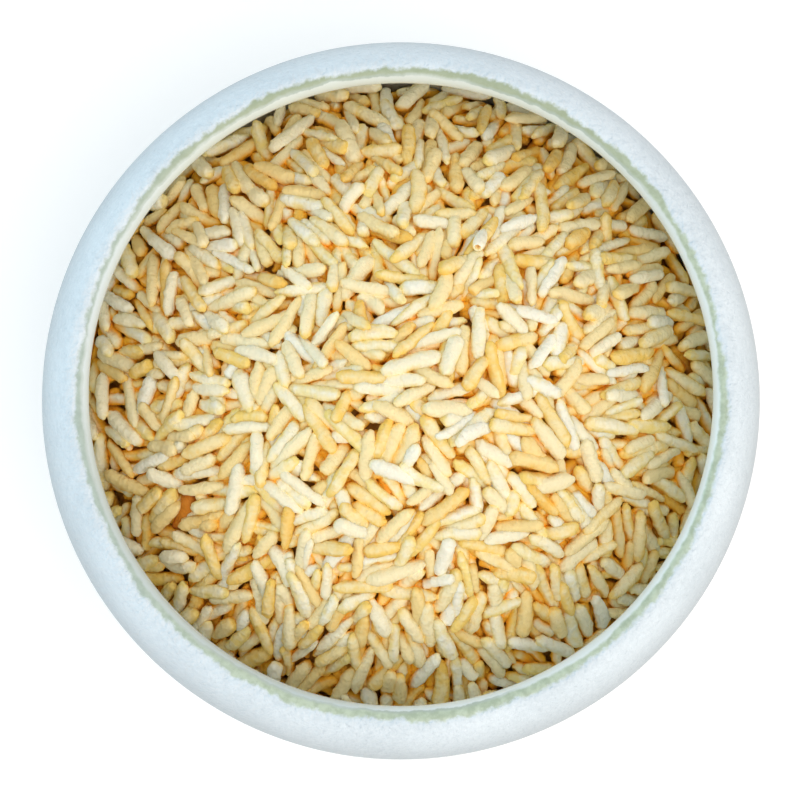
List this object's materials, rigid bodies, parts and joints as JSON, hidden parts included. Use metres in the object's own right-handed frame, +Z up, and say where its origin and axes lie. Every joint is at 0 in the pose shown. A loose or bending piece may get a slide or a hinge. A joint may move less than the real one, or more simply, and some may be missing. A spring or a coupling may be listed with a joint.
{
  "type": "bowl of puffed rice",
  "caption": "Round pale glazed bowl with an in-curved rim, filled almost to the rim with a domed heap of golden puffed rice grains.",
  "frame": {"origin": "centre of the bowl's foot ring, on the surface that it stands on", "axes": "+Z up along the bowl's axis, through the middle of its mouth; +X and +Y lie in the surface that it stands on"},
  "size_m": [0.12, 0.12, 0.0573],
  "materials": {
    "glaze": "satin",
    "grain": "matte"
  },
  "bodies": {
    "root": {"bowl": "glaze", "puffed_rice": "grain"}
  },
  "joints": []
}
